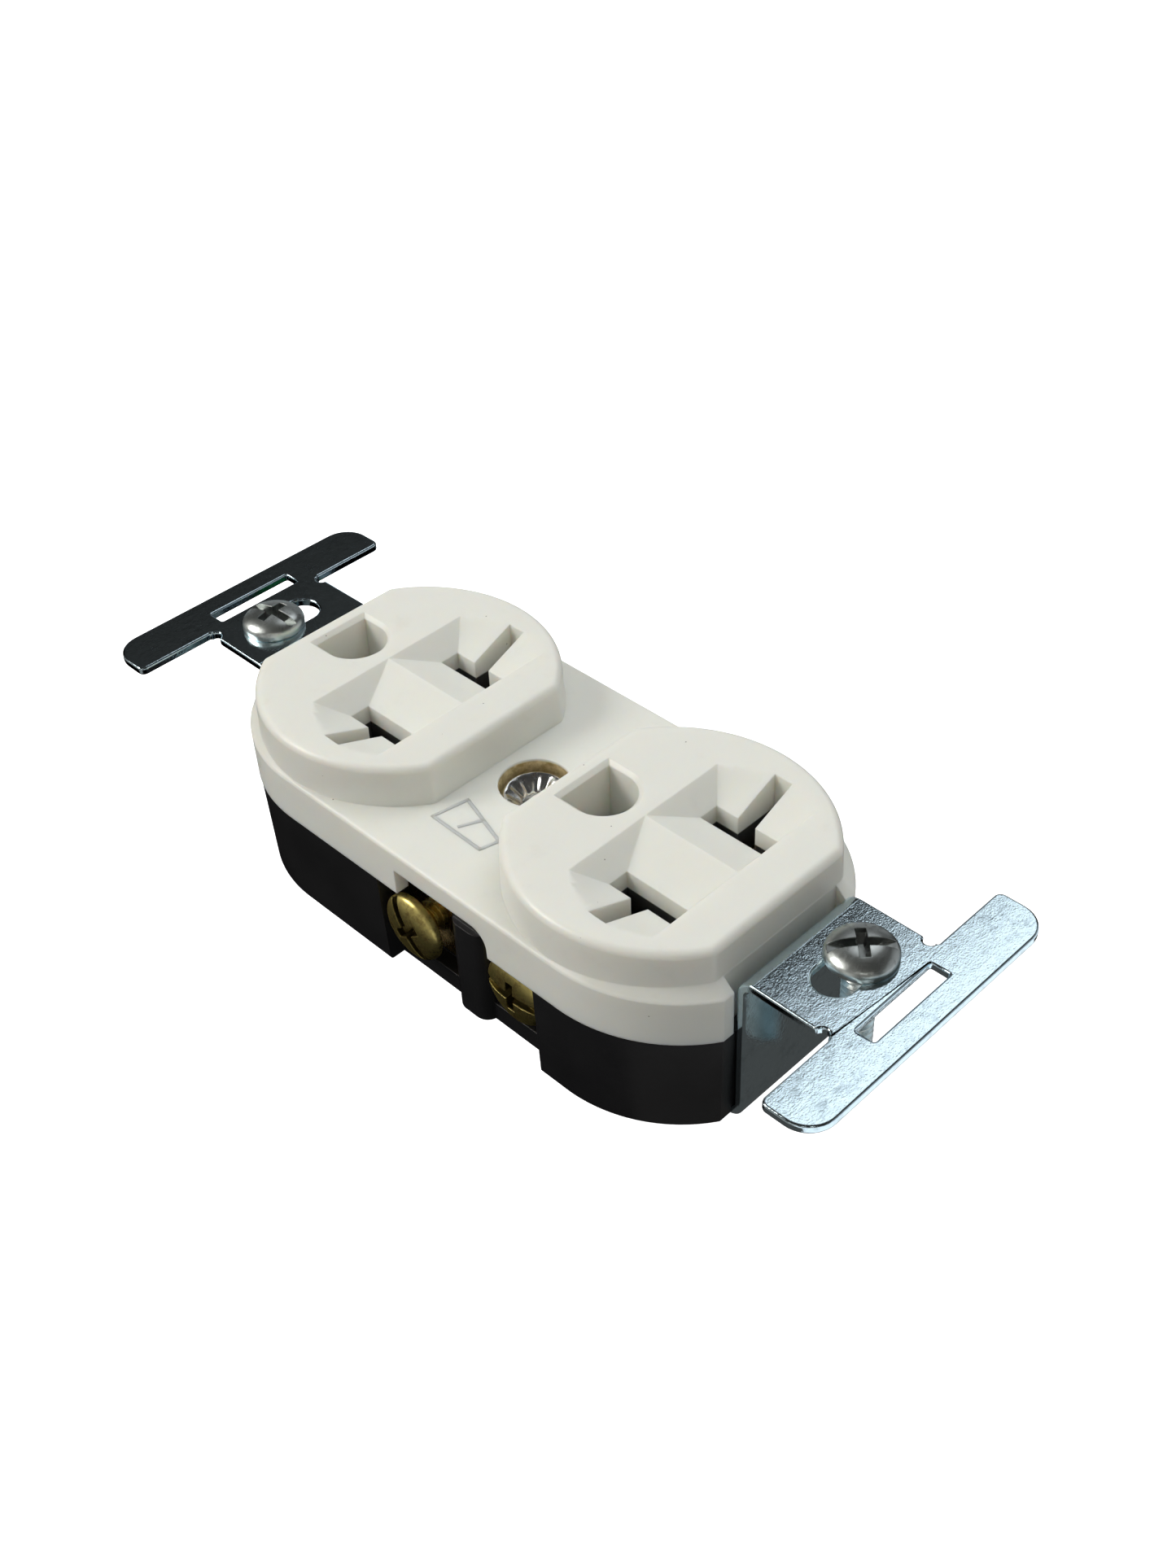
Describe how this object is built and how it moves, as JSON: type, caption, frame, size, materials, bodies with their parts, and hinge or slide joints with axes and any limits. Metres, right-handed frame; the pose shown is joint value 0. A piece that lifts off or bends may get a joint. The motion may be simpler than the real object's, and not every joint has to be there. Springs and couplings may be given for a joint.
{
  "type": "duplex wall outlet",
  "caption": "Duplex wall outlet with T-shaped blade slots, ground holes, a wrap-around steel strap with snap-off ears and brass side terminal screws.",
  "frame": {"origin": "middle of the mounting plane, the underside of the two ears, on the axis of the centre screw hole", "axes": "+Z out of the faces, +Y along the long way so that each ground hole is on the -Y side of its face, +X to the right seen from the front with +Y up"},
  "size_m": [0.0352, 0.1038, 0.0232],
  "materials": {
    "white_plastic": "satin moulded nylon",
    "black_plastic": "satin moulded phenolic",
    "zinc_steel": "bright zinc plate",
    "rivet_metal": "bright",
    "green_steel": "green dyed zinc plate",
    "brass": "plain"
  },
  "bodies": {
    "outlet_body": {"face_cover": "white_plastic", "base_housing": "black_plastic", "mounting_strap": "zinc_steel", "center_rivet": "rivet_metal", "side_plate_right": "brass", "side_plate_left": "brass", "blade_contact_right_lower": "brass", "blade_contact_right_upper": "brass", "blade_contact_left_lower": "brass", "blade_contact_left_upper": "brass", "ground_clip_lower": "brass", "ground_rivet_lower": "brass", "ground_clip_upper": "brass", "ground_rivet_upper": "brass"},
    "mounting_screw_upper": {"mounting_screw_upper": "zinc_steel"},
    "mounting_screw_lower": {"mounting_screw_lower": "zinc_steel"},
    "ground_screw": {"ground_screw": "green_steel"},
    "terminal_screw_right_lower": {"terminal_screw_right_lower": "brass"},
    "terminal_screw_right_upper": {"terminal_screw_right_upper": "brass"},
    "terminal_screw_left_lower": {"terminal_screw_left_lower": "brass"},
    "terminal_screw_left_upper": {"terminal_screw_left_upper": "brass"}
  },
  "joints": [
    {"name": "terminal_screw_right_lower_travel", "type": "slide", "parent": "outlet_body", "child": "terminal_screw_right_lower", "axis": [1, 0, 0], "range_m": [-0.0026, 0.002]},
    {"name": "terminal_screw_right_upper_travel", "type": "slide", "parent": "outlet_body", "child": "terminal_screw_right_upper", "axis": [1, 0, 0], "range_m": [-0.0016, 0.003]},
    {"name": "terminal_screw_left_lower_travel", "type": "slide", "parent": "outlet_body", "child": "terminal_screw_left_lower", "axis": [-1, 0, 0], "range_m": [-0.0026, 0.002]},
    {"name": "terminal_screw_left_upper_travel", "type": "slide", "parent": "outlet_body", "child": "terminal_screw_left_upper", "axis": [-1, 0, 0], "range_m": [-0.0016, 0.003]},
    {"name": "ground_screw_travel", "type": "slide", "parent": "outlet_body", "child": "ground_screw", "axis": [0, -1, 0], "range_m": [-0.0007, 0.003]},
    {"name": "mounting_screw_upper_lift", "type": "slide", "parent": "outlet_body", "child": "mounting_screw_upper", "axis": [0, 0, 1], "range_m": [0, 0.015]},
    {"name": "mounting_screw_lower_lift", "type": "slide", "parent": "outlet_body", "child": "mounting_screw_lower", "axis": [0, 0, 1], "range_m": [0, 0.015]}
  ]
}
